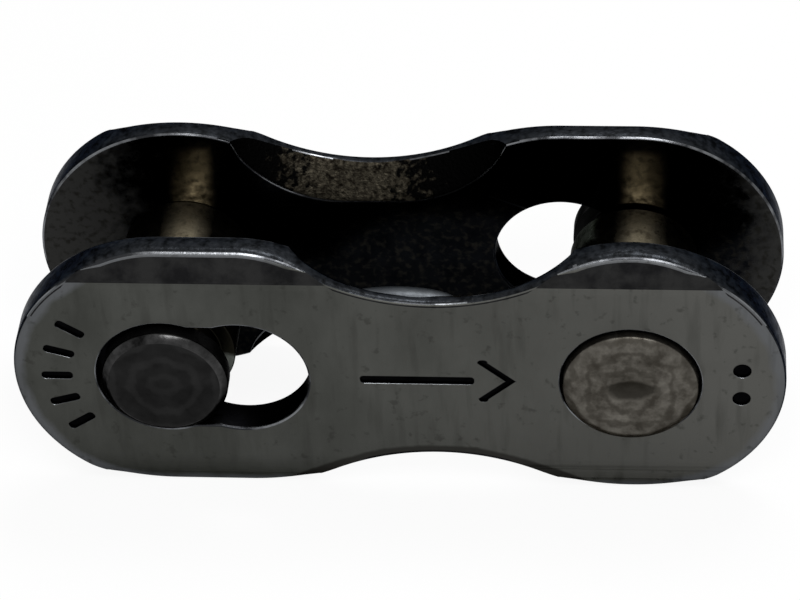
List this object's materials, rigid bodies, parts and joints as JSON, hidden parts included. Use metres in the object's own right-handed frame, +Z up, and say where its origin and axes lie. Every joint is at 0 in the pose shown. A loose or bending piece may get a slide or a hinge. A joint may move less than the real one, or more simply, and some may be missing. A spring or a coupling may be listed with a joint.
{
  "type": "chain connecting link",
  "caption": "Two-piece connecting link for a half-inch roller chain: like plates, each with a riveted pin and a keyhole that locks on the other pin's head.",
  "frame": {"origin": "midway between the two pins and midway between the two plates, at the height of the pin axes", "axes": "+X along the link, towards the front plate's riveted pin; +Y from the front plate to the rear plate, along the pins; +Z up"},
  "size_m": [0.021, 0.0072, 0.0084],
  "materials": {
    "plate_steel": "dark oiled stamped steel, satin, with fine draw marks and worn edges",
    "pin_steel": "hardened turned steel, satin, with a bare warm grey bearing length"
  },
  "bodies": {
    "front_half": {"front_plate": "plate_steel", "front_pin": "pin_steel"},
    "rear_half": {"rear_plate": "plate_steel", "rear_pin": "pin_steel"}
  },
  "joints": [
    {"name": "lock_slide", "type": "slide", "parent": "front_half", "child": "rear_half", "axis": [1, 0, 0], "range_m": [0, 0.00205]}
  ]
}
